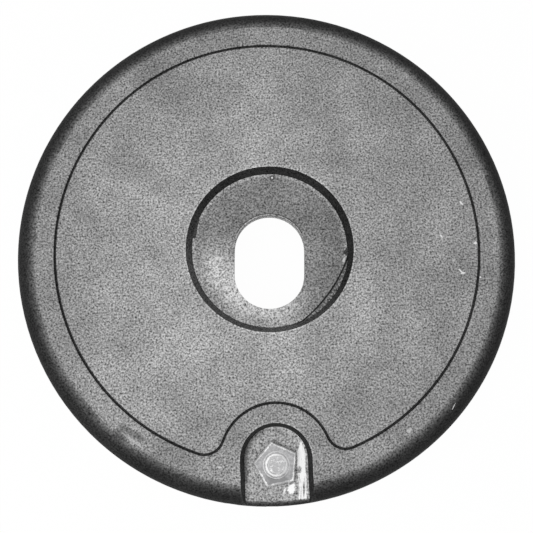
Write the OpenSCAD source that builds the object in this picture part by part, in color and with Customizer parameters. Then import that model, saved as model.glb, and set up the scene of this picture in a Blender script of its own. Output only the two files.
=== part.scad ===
// Round water meter box cover, moulded in black polymer, with a recessed antenna
// pocket in the middle and a pentagon-headed worm lock in an open notch at the rim.
// Millimetres. Z = 0 is the bottom edge of the skirt, +Z is up, the notch faces -Y.

/* [Cover plate] */
// Outside diameter of the cover
cover_d = 295.3; // [285:0.1:320]
// Height from the bottom of the skirt to the top face
cover_h = 44; // [42:0.5:54]
// Thickness of the top plate
plate_t = 7; // [5:0.5:8]
// Radius of the rounded top edge
edge_round = 12; // [5:0.5:13]
// Depth of the seat under the rim, measured from the top face
seat_drop = 14; // [13.5:0.5:16]

/* [Groove line] */
// Distance of the line round the top face in from the rim
line_inset = 24.1; // [20:0.1:29]
// Width of the line
line_w = 1.5; // [1:0.1:2.5]
// Depth of the line
line_depth = 1.2; // [0.6:0.1:2]
// Distance between the notch and the line that goes round it
line_notch_gap = 11.3; // [8:0.1:16]
// Radius that blends the bulge round the notch into the line
line_blend_r = 11; // [6:0.5:14]

/* [Antenna pocket] */
// Radius of the pocket at the top face
pocket_r = 49; // [44:0.5:52]
// Depth of the pocket
pocket_depth = 6; // [4.5:0.5:9]
// How far the pocket wall leans in towards the floor
pocket_lean = 3.3; // [1:0.1:4]
// Thickness of the pocket floor
pocket_floor_t = 7; // [5:0.5:8]
// Sideways shift of the pocket from the middle of the cover
pocket_shift = 1.3; // [-2:0.1:2]
// Radius of the round ends of the antenna hole
hole_r = 20.7; // [15:0.1:24]
// Distance between the two round ends
hole_stretch = 14.2; // [5:0.1:18]
// Turn of the hole about its upper end
hole_turn = -2.5; // [-5:0.5:5]
// Widest part of the crescent of moulding flash left at the foot of the pocket wall
flash_w = 2.3; // [1:0.1:5]
// Radius of the free edge of the flash
flash_edge_r = 86; // [60:1:200]
// Height of the flash above the pocket floor
flash_t = 1; // [0.5:0.1:2]
// Direction of the middle of the flash
flash_angle = -38; // [-60:1:0]

/* [Notch] */
// Distance of the centre of the notch's round end in from the rim
notch_inset = 26.95; // [24.7:0.05:31.5]
// Radius of the notch at the top face
notch_r = 20.5; // [18:0.5:23]
// Depth of the notch
notch_depth = 7; // [5:0.5:9]
// How far the notch walls lean in towards the floor
notch_lean = 2.4; // [1:0.2:3]
// Rounding of the floor where the notch opens through the rim
mouth_round = 3.5; // [1:0.5:4]

/* [Underside] */
// Reach of the rim beyond the skirt that drops into the frame ring
rim_reach = 13.1; // [11.7:0.1:14.6]
// Thickness of the skirt
skirt_t = 5; // [4:0.5:6]
// Thickness of the ribs where they leave the plate
rib_t = 4.4; // [3.5:0.1:5]
// Thickness of the ribs at their free edge
rib_edge_t = 3.4; // [2.5:0.1:3.4]
// Number of radial ribs
rib_count = 12; // [12:12:24]
// Number of round ribs between the pocket wall and the skirt
ring_count = 2; // [1:1:2]
// How far the radial ribs stop above the bottom of the skirt
rib_stop = 4; // [2:0.5:8]
// How much shallower the round ribs are than the radial ones
ring_rise = 3; // [1:0.5:6]

/* [Hooking lugs] */
// Reach of the lugs beyond the skirt
lug_reach = 6; // [4:0.5:8]
// Height of the lugs
lug_h = 10; // [8:0.5:12]
// Distance between the seat and the top of the lugs, for the lip of the frame ring
lip_gap = 12.5; // [10:0.5:14]
// Width of one lug, as an angle
lug_sweep = 12; // [8:1:16]
// Angle between the two lugs
lug_spread = 44; // [30:1:60]

/* [Lock bolt] */
// Distance of the lock's axis beyond the notch's centre
lock_offset = 3.1; // [0:0.1:4]
// Distance from a point of the pentagon head to the flat across from it
head_point_to_flat = 24.1; // [20:0.1:26]
// Height of the head
head_h = 4; // [3:0.5:6]
// Bevel round the top of the head
head_bevel = 0.6; // [0.2:0.1:1]
// Turn of the head, from one point facing the middle of the cover
head_turn = 10.5; // [0:0.5:72]
// Diameter of the round shank
shank_d = 12.7; // [11:0.1:13.5]
// Side of the square end that drives the worm
square_side = 8.8; // [7.8:0.1:9]
// Running clearance round the shank
bore_clear = 0.1; // [0.05:0.01:0.1]
// End play between the lock and the cover
end_play = 0.2; // [0.1:0.05:0.4]

/* [Lock boss] */
// Wall of the boss round the shank
boss_wall = 7.6; // [6:0.1:9]
// Length of the bore, from the notch floor down
bore_len = 16; // [12:0.5:18]
// Clearance between the worm and the walls of its bay
bay_clear = 2; // [1:0.5:4]

/* [Worm] */
// Outside radius of the worm's thread
worm_r = 15.5; // [14:0.1:16]
// Radius of the worm's hub
hub_r = 9.5; // [9:0.1:10]
// Height of the hub
hub_h = 11; // [10:0.5:12]
// Rise of the thread over one full turn
worm_pitch = 6; // [4:0.5:7]
// Length of the thread, as an angle
worm_sweep = 330; // [270:10:350]
// Thickness of the thread at the hub
thread_root_t = 4.6; // [3.6:0.1:5]
// Thickness of the thread at its edge
thread_edge_t = 2.8; // [1.5:0.1:3]

/* [Washers and split pin] */
// Thickness of the washer above the worm
thrust_washer_t = 1.6; // [1:0.1:2]
// Thickness of the washer below the worm
end_washer_t = 1.2; // [1:0.1:1.6]
// Radius of both washers
washer_r = 10.5; // [10:0.1:11]
// Clearance in the washers' holes
washer_clear = 0.25; // [0.1:0.05:0.4]
// Diameter of the split pin
split_pin_d = 2.8; // [2:0.1:3]
// Length of the split pin's bent legs
split_pin_leg = 5; // [3:0.5:7]
// Angle between each bent leg and the pin
split_pin_bend = 40; // [20:5:60]

/* [Hidden] */
$fn = 96;

cover_r = cover_d / 2;
line_r = cover_r - line_inset;
notch_y = cover_r - notch_inset;
skirt_r = cover_r - rim_reach;
seat_z = cover_h - seat_drop;
plate_z = cover_h - plate_t;
pocket_z = cover_h - pocket_depth;
pocket_under_z = pocket_z - pocket_floor_t;
pocket_floor_r = pocket_r - pocket_lean;
pocket_wall_r = pocket_r + plate_t;
notch_z = cover_h - notch_depth;
notch_floor_r = notch_r - notch_lean;
bulge_r = notch_r + line_notch_gap;
lock_y = notch_y + lock_offset;
bore_end_z = notch_z - bore_len;
bore_r = shank_d / 2 + bore_clear;
boss_r = bore_r + boss_wall;
bay_w = 2 * (worm_r + bay_clear);
ring_pitch = (skirt_r - skirt_t - pocket_wall_r) / (ring_count + 1);
bay_ring_r = pocket_wall_r + ring_count * ring_pitch;

thrust_washer_z = bore_end_z - end_play - thrust_washer_t;
hub_z = thrust_washer_z - hub_h;
end_washer_z = hub_z - end_washer_t;
split_pin_gap = 0.1;
split_pin_z = end_washer_z - split_pin_gap - split_pin_d / 2;
shank_end_z = split_pin_z - split_pin_d / 2 - 1.6;
square_clear = 0.05;
pin_hole_clear = 0.1;
head_z = notch_z + end_play;
head_flat_r = head_point_to_flat / (1 + 1 / cos(36));

// Extra length that carries a cut clear of the face it leaves by
past = 1;
// Depth that joined shapes of one moulding run into each other
into = 1;

// Cover

// Disc from the seat up to the top face, with its rounded top edge
module disc() {
    flat_r = cover_r - edge_round;
    rotate_extrude() {
        translate([0, seat_z]) square([flat_r, seat_drop]);
        translate([flat_r - into, seat_z]) square([edge_round + into, seat_drop - edge_round]);
        intersection() {
            translate([flat_r, cover_h - edge_round]) circle(r = edge_round);
            translate([flat_r - into, seat_z]) square([edge_round + into, seat_drop]);
        }
    }
}

// Hollow that leaves the plate inside the skirt, and full thickness under the notch floor
module plate_recess() {
    tub_r = notch_r + plate_t / 2;
    difference() {
        translate([0, 0, seat_z - past]) cylinder(r = skirt_r - skirt_t, h = plate_z - seat_z + past);
        translate([0, -notch_y, 0]) cylinder(r = tub_r, h = cover_h);
        translate([-tub_r, -cover_r, 0]) cube([2 * tub_r, cover_r - notch_y, cover_h]);
    }
}

// Drafted section of a rib that hangs from z = top down to z = foot
module rib_section(top, foot) {
    polygon([
        [-rib_edge_t / 2, foot], [rib_edge_t / 2, foot],
        [rib_t / 2, top], [-rib_t / 2, top]
    ]);
}

module round_rib(r, foot) {
    rotate_extrude() translate([r, 0]) rib_section(plate_z + into, foot);
}

module radial_rib(from_r, to_r) {
    translate([from_r, 0, 0])
        rotate([90, 0, 90])
            linear_extrude(to_r - from_r) rib_section(plate_z + into, rib_stop);
}

module skirt() {
    edge = 1;
    rotate_extrude()
        polygon([
            [skirt_r - skirt_t, seat_z + into], [skirt_r, seat_z + into], [skirt_r, edge],
            [skirt_r - edge, 0], [skirt_r - skirt_t + 2 * edge, 0], [skirt_r - skirt_t + edge, edge]
        ]);
}

// Walls that close the worm's bay on both sides, from the last round rib to the skirt
module bay_walls() {
    wall_mid = bay_w / 2 + rib_t / 2;
    for (side = [-1, 1])
        translate([side * wall_mid, 0, 0])
            rotate(-90) radial_rib(bay_ring_r - into, skirt_r - skirt_t / 2);
}

// Round-ended bay that leaves the worm room to turn and opens through the skirt
module bay_cut() {
    translate([0, -lock_y, -past]) cylinder(d = bay_w, h = bore_end_z + past);
    translate([-bay_w / 2, -cover_r, -past]) cube([bay_w, cover_r - lock_y, bore_end_z + past]);
}

module boss() {
    intersection() {
        translate([0, -lock_y, bore_end_z]) cylinder(r = boss_r, h = bore_len - into);
        translate([0, 0, bore_end_z - past]) cylinder(r = skirt_r, h = bore_len + past);
    }
}

// Hooks opposite the lock that reach under the lip of the frame ring
module lugs() {
    top = seat_z - lip_gap;
    lead = lug_reach / 2;
    for (side = [-1, 1])
        rotate(90 + side * lug_spread / 2 - lug_sweep / 2)
            rotate_extrude(angle = lug_sweep)
                polygon([
                    [skirt_r - into, top], [skirt_r + lug_reach - 1, top - 1], [skirt_r + lug_reach, top - 2],
                    [skirt_r + lug_reach, top - lug_h + lead], [skirt_r + lug_reach - lead, top - lug_h],
                    [skirt_r - into, top - lug_h]
                ]);
}

// Section of the line: a V that opens at the top face
module line_section(r) {
    translate([r, cover_h])
        polygon([[-line_w / 2, past], [-line_w / 2, 0], [0, -line_depth], [line_w / 2, 0], [line_w / 2, past]]);
}

// The line runs round the cover, swings in round the notch and is blended at both corners
module groove_line() {
    main_r = line_r - line_blend_r;
    side_r = bulge_r + line_blend_r;
    blend_y = (main_r ^ 2 - side_r ^ 2 + notch_y ^ 2) / (2 * notch_y);
    blend_x = sqrt(main_r ^ 2 - blend_y ^ 2);
    main_angle = atan2(-blend_y, blend_x);
    bulge_angle = atan2(notch_y - blend_y, blend_x);
    rotate(main_angle) rotate_extrude(angle = 180 - 2 * main_angle) line_section(line_r);
    translate([0, -notch_y, 0])
        rotate(bulge_angle) rotate_extrude(angle = 180 - 2 * bulge_angle) line_section(bulge_r);
    for (side = [0, 1])
        mirror([side, 0, 0])
            translate([blend_x, -blend_y, 0])
                rotate(180 + bulge_angle)
                    rotate_extrude(angle = 180 + main_angle - bulge_angle) line_section(line_blend_r);
}

// Round-ended notch with leaning walls, open through the rim
module notch_cut() {
    wall_slope = notch_lean / notch_depth;
    top_half = notch_r + past * wall_slope;
    run = cover_r - notch_y + past;
    translate([0, -notch_y, notch_z])
        cylinder(r1 = notch_floor_r, r2 = top_half, h = notch_depth + past);
    translate([0, -notch_y, notch_z])
        rotate([90, 0, 0])
            linear_extrude(run)
                polygon([
                    [-notch_floor_r, 0], [notch_floor_r, 0],
                    [top_half, notch_depth + past], [-top_half, notch_depth + past]
                ]);
    intersection() {
        translate([-notch_floor_r, -cover_r - past, notch_z - mouth_round])
            cube([2 * notch_floor_r, cover_r, mouth_round + into / 2]);
        rotate_extrude()
            difference() {
                translate([cover_r - mouth_round, notch_z - mouth_round]) square(mouth_round + past);
                translate([cover_r - mouth_round, notch_z - mouth_round]) circle(r = mouth_round);
            }
    }
}

module pocket_cut() {
    wall_slope = pocket_lean / pocket_depth;
    difference() {
        translate([0, 0, pocket_z])
            cylinder(r1 = pocket_floor_r, r2 = pocket_r + past * wall_slope, h = pocket_depth + past);
        rotate(flash_angle)
            difference() {
                translate([0, -pocket_r, pocket_z - past]) cube([pocket_r, 2 * pocket_r, flash_t + past]);
                translate([pocket_floor_r - flash_w - flash_edge_r, 0, pocket_z - 2 * past])
                    cylinder(r = flash_edge_r, h = flash_t + 3 * past);
            }
    }
}

// Antenna hole through the pocket floor, round at both ends
module hole_cut() {
    deep = pocket_floor_t + 2 * past;
    rotate(hole_turn)
        translate([0, 0, pocket_under_z - past]) {
            cylinder(r = hole_r, h = deep);
            translate([0, -hole_stretch, 0]) cylinder(r = hole_r, h = deep);
            translate([-hole_r, -hole_stretch, 0]) cube([2 * hole_r, hole_stretch, deep]);
        }
}

module cover() {
    color("dimgray")
        difference() {
            union() {
                difference() {
                    disc();
                    plate_recess();
                }
                translate([pocket_shift, 0, pocket_under_z])
                    cylinder(r = pocket_wall_r, h = pocket_floor_t + pocket_depth - into);
                skirt();
                round_rib(pocket_wall_r - rib_t / 2, rib_stop / 2);
                for (i = [1:ring_count])
                    round_rib(pocket_wall_r + i * ring_pitch, rib_stop + ring_rise);
                for (i = [0:rib_count - 1])
                    rotate((i + 0.5) * 360 / rib_count)
                        radial_rib(pocket_wall_r - rib_t / 2, skirt_r - skirt_t / 2);
                bay_walls();
                boss();
                lugs();
            }
            groove_line();
            notch_cut();
            translate([pocket_shift, 0, 0]) {
                pocket_cut();
                hole_cut();
            }
            translate([0, -lock_y, bore_end_z - past]) cylinder(r = bore_r, h = bore_len + 2 * past);
            bay_cut();
        }
}

// Lock bolt: pentagon head, round shank, square end and cross hole

// Five-sided head with a bevelled top edge
module pentagon_head() {
    wide = 2 * head_point_to_flat;
    intersection_for (i = [0:4])
        rotate(i * 72 + 36)
            rotate([90, 0, 0])
                translate([0, 0, -wide / 2])
                    linear_extrude(wide)
                        polygon([
                            [-wide, 0], [head_flat_r, 0], [head_flat_r, head_h - head_bevel],
                            [head_flat_r - head_bevel, head_h], [-wide, head_h]
                        ]);
}

// Rings turned into the top of the head
module head_rings() {
    ring_depth = 0.4;
    difference() {
        translate([0, 0, head_h - ring_depth]) cylinder(r = head_flat_r * 0.74, h = ring_depth + past);
        translate([0, 0, head_h - ring_depth - past]) cylinder(r = head_flat_r * 0.6, h = ring_depth + 3 * past);
    }
    translate([0, 0, head_h - ring_depth]) cylinder(r = head_flat_r * 0.46, h = ring_depth + past);
}

module lock_bolt() {
    color("lightgray")
        translate([0, -lock_y, 0])
            difference() {
                union() {
                    translate([0, 0, head_z])
                        rotate(90 + head_turn)
                            difference() {
                                pentagon_head();
                                head_rings();
                            }
                    translate([0, 0, thrust_washer_z])
                        cylinder(d = shank_d, h = head_z - thrust_washer_z + into);
                    translate([-square_side / 2, -square_side / 2, shank_end_z])
                        cube([square_side, square_side, thrust_washer_z - shank_end_z + into]);
                }
                translate([-shank_d, 0, split_pin_z])
                    rotate([0, 90, 0]) cylinder(d = split_pin_d + 2 * pin_hole_clear, h = 2 * shank_d);
            }
}

module washer(z, thickness) {
    color("silver")
        translate([0, -lock_y, z])
            difference() {
                cylinder(r = washer_r, h = thickness);
                translate([0, 0, -past]) cylinder(r = shank_d / 2 + washer_clear, h = thickness + 2 * past);
            }
}

module thrust_washer() {
    washer(thrust_washer_z, thrust_washer_t);
}

module end_washer() {
    washer(end_washer_z, end_washer_t);
}

// Worm: a hub with one turn of drafted thread that climbs under the lip of the ring

// Section of the thread at one step, inner edge sunk into the hub, thinner at both ends of the turn
function thread_ring(i, steps) =
    let (
        turn = worm_sweep * i / steps,
        fade = min(1, 6 * i / steps, 6 * (steps - i) / steps),
        out = hub_r + (worm_r - hub_r) * max(fade, 0.05),
        mid = hub_h / 2 + worm_pitch * (turn - worm_sweep / 2) / 360,
        ring = [
            [hub_r - into, mid - thread_root_t / 2], [out, mid - thread_edge_t / 2],
            [out, mid + thread_edge_t / 2], [hub_r - into, mid + thread_root_t / 2]
        ]
    )
    [for (p = ring) [p[0] * cos(turn), p[0] * sin(turn), p[1]]];

module thread() {
    steps = 40;
    rings = [for (i = [0:steps]) each thread_ring(i, steps)];
    walls = [
        for (i = [0:steps - 1], j = [0:3])
            let (a = 4 * i + j, b = 4 * i + (j + 1) % 4)
            each [[a, b + 4, a + 4], [a, b, b + 4]]
    ];
    last = 4 * steps;
    ends = [[2, 1, 0], [3, 2, 0], [last, last + 1, last + 2], [last, last + 2, last + 3]];
    polyhedron(points = rings, faces = concat(walls, ends), convexity = 4);
}

module worm() {
    hole = square_side + 2 * square_clear;
    color("lightgray")
        translate([0, -lock_y, hub_z])
            difference() {
                union() {
                    cylinder(r = hub_r, h = hub_h);
                    thread();
                }
                translate([-hole / 2, -hole / 2, -past]) cube([hole, hole, hub_h + 2 * past]);
            }
}

// Split pin: eye at one side, legs bent apart at the other
module split_pin() {
    wire = split_pin_d / 2;
    grip = square_side / 2 + 2;
    color("silver")
        translate([0, -lock_y, split_pin_z])
            rotate([0, 90, 0]) {
                translate([0, 0, -grip]) cylinder(d = split_pin_d, h = 2 * grip);
                translate([0, 0, -grip - split_pin_d * 0.7])
                    rotate([0, 90, 0]) rotate_extrude() translate([split_pin_d * 0.7, 0]) circle(d = wire);
                for (side = [-1, 1])
                    translate([0, side * wire / 2, grip - wire / 2])
                        rotate([-side * split_pin_bend, 0, 0]) cylinder(d = wire, h = split_pin_leg);
            }
}

cover();
lock_bolt();
thrust_washer();
worm();
end_washer();
split_pin();
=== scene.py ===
import math

import bmesh
import bpy
from mathutils import Matrix, Vector


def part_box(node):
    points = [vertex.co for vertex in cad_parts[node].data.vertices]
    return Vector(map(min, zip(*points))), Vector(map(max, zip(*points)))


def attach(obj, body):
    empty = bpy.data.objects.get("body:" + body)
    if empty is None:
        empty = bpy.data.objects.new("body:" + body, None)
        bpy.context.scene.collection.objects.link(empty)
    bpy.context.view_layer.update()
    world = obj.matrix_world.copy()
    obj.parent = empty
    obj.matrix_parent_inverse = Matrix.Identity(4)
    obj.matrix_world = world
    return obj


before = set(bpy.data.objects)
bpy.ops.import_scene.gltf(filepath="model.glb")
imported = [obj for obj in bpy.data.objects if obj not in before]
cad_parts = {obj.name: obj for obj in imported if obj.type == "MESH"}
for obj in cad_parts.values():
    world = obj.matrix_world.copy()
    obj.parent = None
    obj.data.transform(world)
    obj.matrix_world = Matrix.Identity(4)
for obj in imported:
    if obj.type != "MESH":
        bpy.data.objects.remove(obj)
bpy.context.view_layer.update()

# Cover
# One thick round lid, injection moulded in black polyolefin with a fine grain. Dust, feet and
# sun have greyed what faces up. Slopes, walls and the groove line keep the black of the resin, and
# the quick darkening with slope is partly painted shade.
MM = 0.001
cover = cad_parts["cover"]
top_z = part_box("cover")[1].z
cover_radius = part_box("cover")[1].x
flat_radius = cover_radius - 12 * MM
line_radius = cover_radius - 24.1 * MM
line_depth = 1.2 * MM
notch_centre_y = 26.95 * MM - cover_radius
bulge_radius = 31.8 * MM
line_blend = 19 * MM
pocket_x = 1.3 * MM
pocket_radius = 49 * MM
pocket_floor_radius = 45.7 * MM
pocket_floor_z = top_z - 6 * MM
pocket_floor_thickness = 7 * MM
flash_edge_radius = 86 * MM
flash_width = 2.3 * MM
hole_x = 1.1 * MM
hole_radius = 20.7 * MM
hole_straight = 14.2 * MM
hole_reach = 38 * MM
notch_radius = 20.5 * MM
notch_floor_radius = 18.1 * MM
notch_floor_z = top_z - 7 * MM


def linear(code):
    """An sRGB hex colour as linear RGBA."""
    parts = [int(code[i : i + 2], 16) / 255 for i in (1, 3, 5)]
    return [p / 12.92 if p <= 0.04045 else ((p + 0.055) / 1.055) ** 2.4 for p in parts] + [1]


def add(tree, kind, settings=None, inputs=None):
    """Adds a node with its settings. An input is a value, a socket or a node, which then stands
    for its first output in use."""
    node = tree.nodes.new(kind)
    for name, value in (settings or {}).items():
        setattr(node, name, value)
    for key, value in (inputs or {}).items():
        if isinstance(value, bpy.types.Node):
            value = next(output for output in value.outputs if output.enabled)
        if isinstance(value, bpy.types.NodeSocket):
            tree.links.new(value, node.inputs[key])
        else:
            node.inputs[key].default_value = value
    return node


def start_material(name, roughness, metallic=0.0):
    """An empty material with its shader and output, and the points of its pattern."""
    material = bpy.data.materials.new(name)
    material.use_nodes = True
    tree = material.node_tree
    tree.nodes.clear()
    shader = add(tree, "ShaderNodeBsdfPrincipled", None, {"Roughness": roughness, "Metallic": metallic})
    add(tree, "ShaderNodeOutputMaterial", None, {"Surface": shader})
    place = add(tree, "ShaderNodeTexCoord")
    return material, tree, shader, place


SMOOTH = {"interpolation_type": "SMOOTHSTEP"}
ADD = {"operation": "ADD"}
SUBTRACT = {"operation": "SUBTRACT"}
MULTIPLY = {"operation": "MULTIPLY"}
MINIMUM = {"operation": "MINIMUM"}
MAXIMUM = {"operation": "MAXIMUM"}
ABSOLUTE = {"operation": "ABSOLUTE"}
LENGTH = {"operation": "LENGTH"}
DOT = {"operation": "DOT_PRODUCT"}
COLOUR = {"data_type": "RGBA"}

# Moulded black polyolefin: matt, with a leathery grain that breaks the light into specks
polymer, tree, shader, place = start_material("weathered_black_polyolefin", 0.6)
shader.inputs["Specular IOR Level"].default_value = 0.06
spot = place.outputs["Object"]
x, y, z = add(tree, "ShaderNodeSeparateXYZ", None, {0: spot}).outputs
facing = add(tree, "ShaderNodeSeparateXYZ", None, {0: place.outputs["Normal"]}).outputs["Z"]
flat = add(tree, "ShaderNodeVectorMath", MULTIPLY, {0: spot, 1: (1, 1, 0)})
from_middle = add(tree, "ShaderNodeVectorMath", LENGTH, {0: flat}).outputs["Value"]
to_notch = add(tree, "ShaderNodeVectorMath", SUBTRACT, {0: flat, 1: (0, notch_centre_y, 0)})
from_notch = add(tree, "ShaderNodeVectorMath", LENGTH, {0: to_notch}).outputs["Value"]
to_pocket = add(tree, "ShaderNodeVectorMath", SUBTRACT, {0: flat, 1: (pocket_x, 0, 0)})
from_pocket = add(tree, "ShaderNodeVectorMath", LENGTH, {0: to_pocket}).outputs["Value"]

# The distance from the middle line of the notch, which is round at its inner end
behind_lock = add(tree, "ShaderNodeMath", SUBTRACT, {0: y, 1: notch_centre_y})
behind_lock = add(tree, "ShaderNodeMath", MAXIMUM, {0: behind_lock, 1: 0.0})
to_notch_line = add(tree, "ShaderNodeCombineXYZ", None, {0: x, 1: behind_lock})
from_notch_line = add(tree, "ShaderNodeVectorMath", LENGTH, {0: to_notch_line}).outputs["Value"]

# Greyed faces. The panel inside the line pales towards the pocket, and the rim is a shade darker
past_circle = add(tree, "ShaderNodeMath", SUBTRACT, {0: from_middle, 1: line_radius})
in_bulge = add(tree, "ShaderNodeMath", SUBTRACT, {0: bulge_radius, 1: from_notch})
past_line = add(
    tree, "ShaderNodeMath", {"operation": "SMOOTH_MAX"}, {0: past_circle, 1: in_bulge, 2: line_blend}
)
outward = add(
    tree, "ShaderNodeMapRange", SMOOTH, {"Value": from_middle, "From Min": 55 * MM, "From Max": 122 * MM}
)
panel_grey = add(tree, "ShaderNodeMix", COLOUR, {0: outward, 6: linear("#9c9c9c"), 7: linear("#919191")})
on_rim = add(
    tree, "ShaderNodeMapRange", SMOOTH, {"Value": past_line, "From Min": -1 * MM, "From Max": 1 * MM}
)
grey = add(tree, "ShaderNodeMix", COLOUR, {0: on_rim, 6: panel_grey, 7: linear("#8c8c8c")})

# Pocket floor. A painted sheen pales its lower left side and fades towards the wall. Dust lies
# in a narrow ring at the foot of the wall. The rest stays darker
lower_left_way = math.radians(238)
towards_lower_left = add(
    tree, "ShaderNodeVectorMath", DOT, {0: to_pocket, 1: (math.cos(lower_left_way), math.sin(lower_left_way), 0)}
).outputs["Value"]
painted_sheen = add(
    tree, "ShaderNodeMapRange", None, {"Value": towards_lower_left, "From Min": -20 * MM, "From Max": 34 * MM}
)
near_wall = add(
    tree,
    "ShaderNodeMapRange",
    SMOOTH,
    {"Value": from_pocket, "From Min": 33 * MM, "From Max": 45 * MM, "To Max": 0.3},
)
painted_sheen = add(tree, "ShaderNodeMath", SUBTRACT, {0: painted_sheen, 1: near_wall})
# Painted highlight: the grey of the sheen, from the darker floor up to its palest
painted_sheen_grey = add(tree, "ShaderNodeValToRGB", None, {0: painted_sheen})
painted_sheen_grey.color_ramp.elements[0].color = linear("#808080")
painted_sheen_grey.color_ramp.elements[1].color = linear("#bcbcbc")
for share, colour in ((0.36, "#848484"), (0.6, "#8e8e8e"), (0.8, "#a8a8a8")):
    painted_sheen_grey.color_ramp.elements.new(share).color = linear(colour)
at_foot = add(
    tree,
    "ShaderNodeMapRange",
    SMOOTH,
    {"Value": from_pocket, "From Min": 43.2 * MM, "From Max": 44.8 * MM, "To Max": 0.9},
)
floor_grey = add(tree, "ShaderNodeMix", COLOUR, {0: at_foot, 6: painted_sheen_grey, 7: linear("#a0a0a0")})
near_floor = add(
    tree,
    "ShaderNodeMapRange",
    SMOOTH,
    {"Value": z, "From Min": pocket_floor_z + 1.5 * MM, "From Max": pocket_floor_z + 1.1 * MM},
)
in_pocket = add(
    tree,
    "ShaderNodeMapRange",
    SMOOTH,
    {"Value": from_pocket, "From Min": pocket_radius + 0.5 * MM, "From Max": pocket_radius - 0.5 * MM},
)
on_floor = add(tree, "ShaderNodeMath", MULTIPLY, {0: near_floor, 1: in_pocket})
grey = add(tree, "ShaderNodeMix", COLOUR, {0: on_floor, 6: grey, 7: floor_grey})

# A painted shadow lies along the free edge of the flash, and the flash itself is streaked with dirt
flash_way = math.radians(-38)
flash_middle = pocket_floor_radius - flash_width - flash_edge_radius
flash_centre = (pocket_x + flash_middle * math.cos(flash_way), flash_middle * math.sin(flash_way), 0)
to_flash = add(tree, "ShaderNodeVectorMath", SUBTRACT, {0: flat, 1: flash_centre})
from_flash = add(tree, "ShaderNodeVectorMath", LENGTH, {0: to_flash}).outputs["Value"]
past_edge = add(tree, "ShaderNodeMath", SUBTRACT, {0: from_flash, 1: flash_edge_radius - 0.3 * MM})
flash_side = add(tree, "ShaderNodeMath", ABSOLUTE, {0: past_edge})
flash_edge_shadow = add(
    tree, "ShaderNodeMapRange", SMOOTH, {"Value": flash_side, "From Min": 0.7 * MM, "From Max": 0.3 * MM}
)
flash_edge_shadow = add(tree, "ShaderNodeMath", MULTIPLY, {0: flash_edge_shadow, 1: on_floor})
on_flash = add(
    tree,
    "ShaderNodeMapRange",
    SMOOTH,
    {"Value": past_edge, "From Min": 0.3 * MM, "From Max": 0.6 * MM},
)
flash_streaks = add(
    tree,
    "ShaderNodeTexNoise",
    None,
    {"Vector": spot, "Scale": 1 / (1.3 * MM), "Detail": 3.0, "Roughness": 0.7},
)
flash_streaks = add(
    tree,
    "ShaderNodeMapRange",
    SMOOTH,
    {"Value": flash_streaks, "From Min": 0.4, "From Max": 0.6, "To Min": 0.25, "To Max": 1.0},
)
for share in (flash_streaks, on_floor):
    on_flash = add(tree, "ShaderNodeMath", MULTIPLY, {0: on_flash, 1: share})
grey = add(tree, "ShaderNodeMix", COLOUR, {0: on_flash, 6: grey, 7: linear("#4c4c4c")})
# Painted shadow along the free edge of the flash
grey = add(tree, "ShaderNodeMix", COLOUR, {0: flash_edge_shadow, 6: grey, 7: linear("#262626")})

# On its upper side the edge of the antenna hole has a pale painted highlight, inside a thin line of painted
# shade
along_hole = add(tree, "ShaderNodeMath", MINIMUM, {0: y, 1: 0.0})
along_hole = add(tree, "ShaderNodeMath", MAXIMUM, {0: along_hole, 1: -hole_straight})
aside = add(tree, "ShaderNodeMath", SUBTRACT, {0: x, 1: hole_x})
ahead = add(tree, "ShaderNodeMath", SUBTRACT, {0: y, 1: along_hole})
from_hole = add(tree, "ShaderNodeCombineXYZ", None, {0: aside, 1: ahead})
from_hole = add(tree, "ShaderNodeVectorMath", LENGTH, {0: from_hole}).outputs["Value"]
from_hole = add(tree, "ShaderNodeMath", SUBTRACT, {0: from_hole, 1: hole_radius})
upper_side = add(tree, "ShaderNodeMapRange", SMOOTH, {"Value": y, "From Min": 3 * MM, "From Max": 13 * MM})
upper_side = add(tree, "ShaderNodeMath", MULTIPLY, {0: upper_side, 1: on_floor})
painted_hole_highlight = add(
    tree, "ShaderNodeMapRange", SMOOTH, {"Value": from_hole, "From Min": 0.9 * MM, "From Max": 0.5 * MM}
)
painted_hole_highlight = add(tree, "ShaderNodeMath", MULTIPLY, {0: painted_hole_highlight, 1: upper_side})
grey = add(tree, "ShaderNodeMix", COLOUR, {0: painted_hole_highlight, 6: grey, 7: linear("#a6a6a6")})
# Painted shade: a thin dark line a millimetre out from the hole's edge
painted_hole_edge_shade = add(tree, "ShaderNodeMath", SUBTRACT, {0: from_hole, 1: 1.0 * MM})
painted_hole_edge_shade = add(tree, "ShaderNodeMath", ABSOLUTE, {0: painted_hole_edge_shade})
painted_hole_edge_shade = add(
    tree,
    "ShaderNodeMapRange",
    SMOOTH,
    {"Value": painted_hole_edge_shade, "From Min": 0.45 * MM, "From Max": 0.15 * MM, "To Max": 0.7},
)
painted_hole_edge_shade = add(tree, "ShaderNodeMath", MULTIPLY, {0: painted_hole_edge_shade, 1: upper_side})
grey = add(tree, "ShaderNodeMix", COLOUR, {0: painted_hole_edge_shade, 6: grey, 7: linear("#303030")})

# The notch floor is paler than the rim. Its left side is darkened in the corner under the wall: painted
# shade, and dirt
below_top = add(
    tree,
    "ShaderNodeMapRange",
    SMOOTH,
    {"Value": z, "From Min": notch_floor_z + 1.5 * MM, "From Max": notch_floor_z + 0.5 * MM},
)
in_notch = add(
    tree,
    "ShaderNodeMapRange",
    SMOOTH,
    {"Value": from_notch_line, "From Min": notch_radius, "From Max": notch_radius - 0.5 * MM},
)
on_notch_floor = add(tree, "ShaderNodeMath", MULTIPLY, {0: below_top, 1: in_notch})
grey = add(tree, "ShaderNodeMix", COLOUR, {0: on_notch_floor, 6: grey, 7: linear("#9e9e9e")})
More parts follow.
